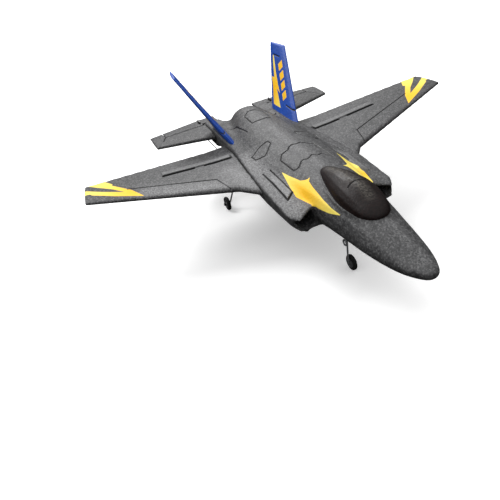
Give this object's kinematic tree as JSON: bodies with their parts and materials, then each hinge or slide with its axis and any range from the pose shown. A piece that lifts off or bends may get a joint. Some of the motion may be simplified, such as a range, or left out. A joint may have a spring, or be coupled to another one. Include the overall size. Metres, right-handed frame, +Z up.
{
  "type": "twin-fin foam rc jet",
  "caption": "Foam radio-controlled jet with canted fins, dark canopy, side intakes, pusher propellers, hinged elevators and wire landing gear.",
  "frame": {"origin": "on the ground under the middle of the airframe's box, with the aircraft standing on its wheels", "axes": "+Z up, nose towards -Y, +X towards the port (left) wing tip"},
  "size_m": [0.2902, 0.2726, 0.098],
  "materials": {
    "foam_grey": "moulded bead foam, dark grey, fine speckle",
    "fin_blue": "painted bead foam, deep blue",
    "canopy_dark": "painted bead foam, very dark brown, soft gloss",
    "black_plastic": "moulded nylon, black",
    "servo_case": "moulded plastic, dark blue",
    "black_rubber": "foam rubber, black",
    "steel_wire": "drawn spring steel wire",
    "motor_steel": "plated can",
    "cell_wrap": "foil pouch",
    "white_plastic": "moulded, natural white",
    "lead_red": "wire insulation",
    "board_green": "solder mask",
    "tape_foam": "double-sided foam tape",
    "carbon_rod": "pultruded carbon"
  },
  "bodies": {
    "airframe": {"battery": "cell_wrap", "battery_connector": "white_plastic", "battery_leads": "lead_red", "belly_pan": "foam_grey", "board_tape": "tape_foam", "canopy": "canopy_dark", "door_hinge_pin": "steel_wire", "fin_left": "fin_blue", "fin_right": "fin_blue", "flight_board": "board_green", "fuselage_foam": "foam_grey", "hinge_block_left": "black_plastic", "hinge_block_right": "black_plastic", "hinge_rod_left": "steel_wire", "hinge_rod_right": "steel_wire", "main_collar_left": "black_rubber", "main_collar_right": "black_rubber", "main_gear_socket_left": "black_plastic", "main_gear_socket_right": "black_plastic", "main_gear_wire_left": "steel_wire", "main_gear_wire_right": "steel_wire", "motor_left": "motor_steel", "motor_pod_left": "black_plastic", "motor_pod_right": "black_plastic", "motor_right": "motor_steel", "nose_collar": "black_rubber", "nose_gear_socket": "black_plastic", "nose_gear_wire": "steel_wire", "power_switch": "black_plastic", "servo_left": "servo_case", "servo_right": "servo_case", "spar_joiner": "black_plastic", "stab_left": "foam_grey", "stab_right": "foam_grey", "wing_left": "foam_grey", "wing_right": "foam_grey", "wing_spar_left": "carbon_rod", "wing_spar_right": "carbon_rod"},
    "elevator_left": {"elevator_left": "foam_grey", "control_horn_left": "black_plastic"},
    "pushrod_left": {"pushrod_left": "steel_wire"},
    "servo_arm_left": {"servo_arm_left": "black_plastic"},
    "propeller_left": {"propeller_left": "black_plastic", "motor_shaft_left": "steel_wire"},
    "main_wheel_left": {"main_hub_left": "black_plastic", "main_tyre_left": "black_rubber"},
    "elevator_right": {"elevator_right": "foam_grey", "control_horn_right": "black_plastic"},
    "pushrod_right": {"pushrod_right": "steel_wire"},
    "servo_arm_right": {"servo_arm_right": "black_plastic"},
    "propeller_right": {"propeller_right": "black_plastic", "motor_shaft_right": "steel_wire"},
    "main_wheel_right": {"main_hub_right": "black_plastic", "main_tyre_right": "black_rubber"},
    "nose_wheel": {"nose_hub": "black_plastic", "nose_tyre": "black_rubber"},
    "battery_door": {"battery_door": "black_plastic"},
    "switch_knob": {"switch_knob": "white_plastic"}
  },
  "joints": [
    {"name": "elevator_left_hinge", "type": "hinge", "parent": "airframe", "child": "elevator_left", "pos_m": [0.04195, 0.1168, 0.0514], "axis": [1, 0, 0], "range_deg": [-17.3, 17.3]},
    {"name": "pushrod_left_slide", "type": "slide", "parent": "airframe", "child": "pushrod_left", "axis": [0, 1, 0], "range_m": [-0.00178, 0.00178]},
    {"name": "servo_arm_left_turn", "type": "hinge", "parent": "airframe", "child": "servo_arm_left", "pos_m": [0.033, 0.048, 0.0398], "axis": [1, 0, 0], "range_deg": [-17.9, 17.9]},
    {"name": "propeller_left_spin", "type": "hinge", "parent": "airframe", "child": "propeller_left", "pos_m": [0.023, 0.13375, 0.04], "axis": [0, 1, 0], "continuous": true},
    {"name": "main_wheel_left_spin", "type": "hinge", "parent": "airframe", "child": "main_wheel_left", "pos_m": [0.0404, 0.0636, 0.0056], "axis": [1, 0, 0], "continuous": true},
    {"name": "elevator_right_hinge", "type": "hinge", "parent": "airframe", "child": "elevator_right", "pos_m": [-0.04195, 0.1168, 0.0514], "axis": [1, 0, 0], "range_deg": [-17.3, 17.3]},
    {"name": "pushrod_right_slide", "type": "slide", "parent": "airframe", "child": "pushrod_right", "axis": [0, 1, 0], "range_m": [-0.00178, 0.00178]},
    {"name": "servo_arm_right_turn", "type": "hinge", "parent": "airframe", "child": "servo_arm_right", "pos_m": [-0.033, 0.048, 0.0398], "axis": [1, 0, 0], "range_deg": [-17.9, 17.9]},
    {"name": "propeller_right_spin", "type": "hinge", "parent": "airframe", "child": "propeller_right", "pos_m": [-0.023, 0.13375, 0.04], "axis": [0, 1, 0], "continuous": true},
    {"name": "main_wheel_right_spin", "type": "hinge", "parent": "airframe", "child": "main_wheel_right", "pos_m": [-0.0404, 0.0636, 0.0056], "axis": [1, 0, 0], "continuous": true},
    {"name": "nose_wheel_spin", "type": "hinge", "parent": "airframe", "child": "nose_wheel", "pos_m": [0, -0.0563, 0.0056], "axis": [1, 0, 0], "continuous": true},
    {"name": "battery_door_hinge", "type": "hinge", "parent": "airframe", "child": "battery_door", "pos_m": [0.0122, -0.004, 0.032], "axis": [0, -1, 0], "range_deg": [0, 85]},
    {"name": "power_switch_slide", "type": "slide", "parent": "airframe", "child": "switch_knob", "axis": [0, 1, 0], "range_m": [0, 0.002]}
  ],
  "couplings": [
    {"joint": "elevator_left_hinge", "follows": "pushrod_left_slide", "rad_per_m": 169.5},
    {"joint": "servo_arm_left_turn", "follows": "pushrod_left_slide", "rad_per_m": -175.4},
    {"joint": "elevator_right_hinge", "follows": "pushrod_right_slide", "rad_per_m": 169.5},
    {"joint": "servo_arm_right_turn", "follows": "pushrod_right_slide", "rad_per_m": -175.4}
  ]
}
